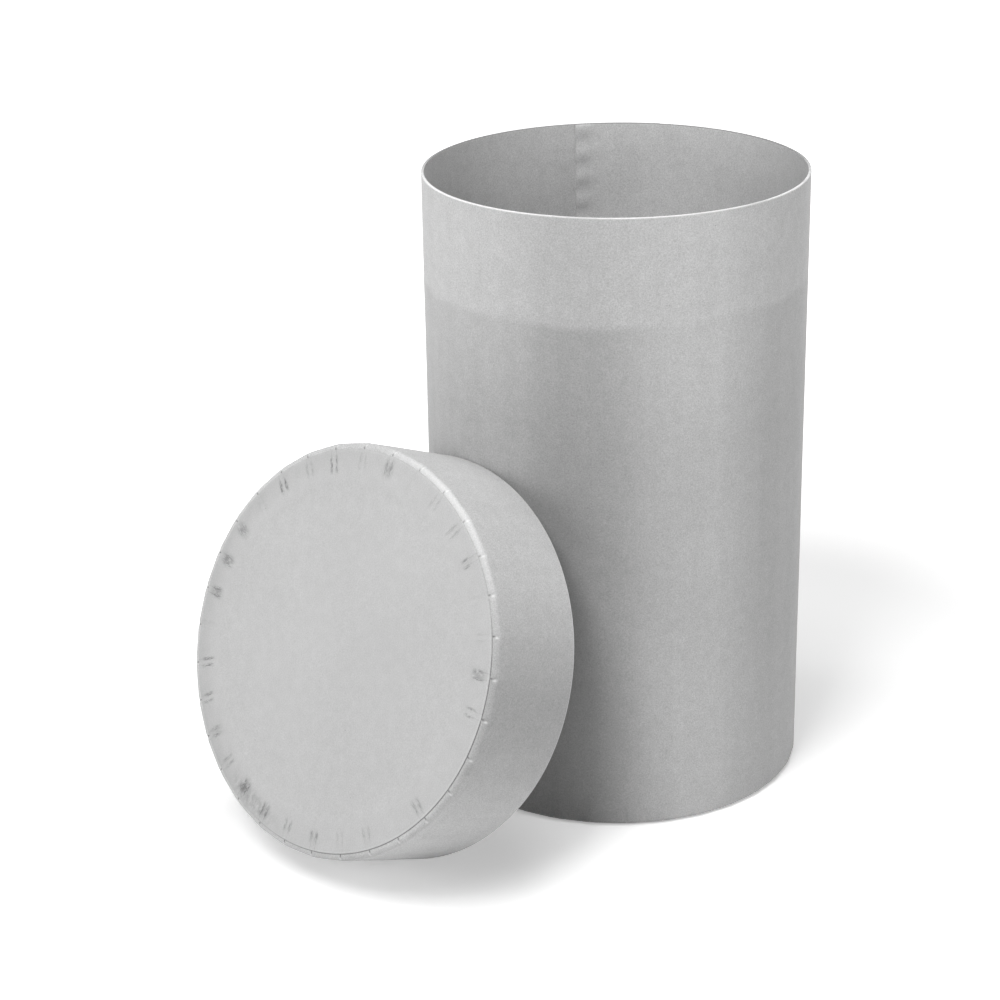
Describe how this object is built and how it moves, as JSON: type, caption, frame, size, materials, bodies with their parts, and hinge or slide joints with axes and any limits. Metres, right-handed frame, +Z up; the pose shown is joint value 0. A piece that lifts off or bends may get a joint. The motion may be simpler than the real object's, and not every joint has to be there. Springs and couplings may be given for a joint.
{
  "type": "fiber drum with slip lid",
  "caption": "Open-topped round fibreboard drum, its deep slip lid taken off and leaning on the drum's wall, both with walls rolled from board and folded in over stiff end discs.",
  "frame": {"origin": "middle of the drum's underside, on the surface that it stands on", "axes": "+Z up along the drum's own axis; the leaning lid stands on the -X -Y side with its top facing away from the drum"},
  "size_m": [0.4778, 0.4631, 0.492],
  "materials": {
    "drum_wall": "raw grey rolled board, matt and mottled",
    "lid_wall": "raw grey rolled board, matt and mottled",
    "end_board": "raw grey pressed board, matt",
    "end_cover": "thin grey sheet glued down, matt, scuffed"
  },
  "bodies": {
    "root": {"drum_wall": "drum_wall", "drum_board": "end_board", "drum_cover": "end_cover", "lid_wall": "lid_wall", "lid_board": "end_board", "lid_cover": "end_cover"}
  },
  "joints": []
}
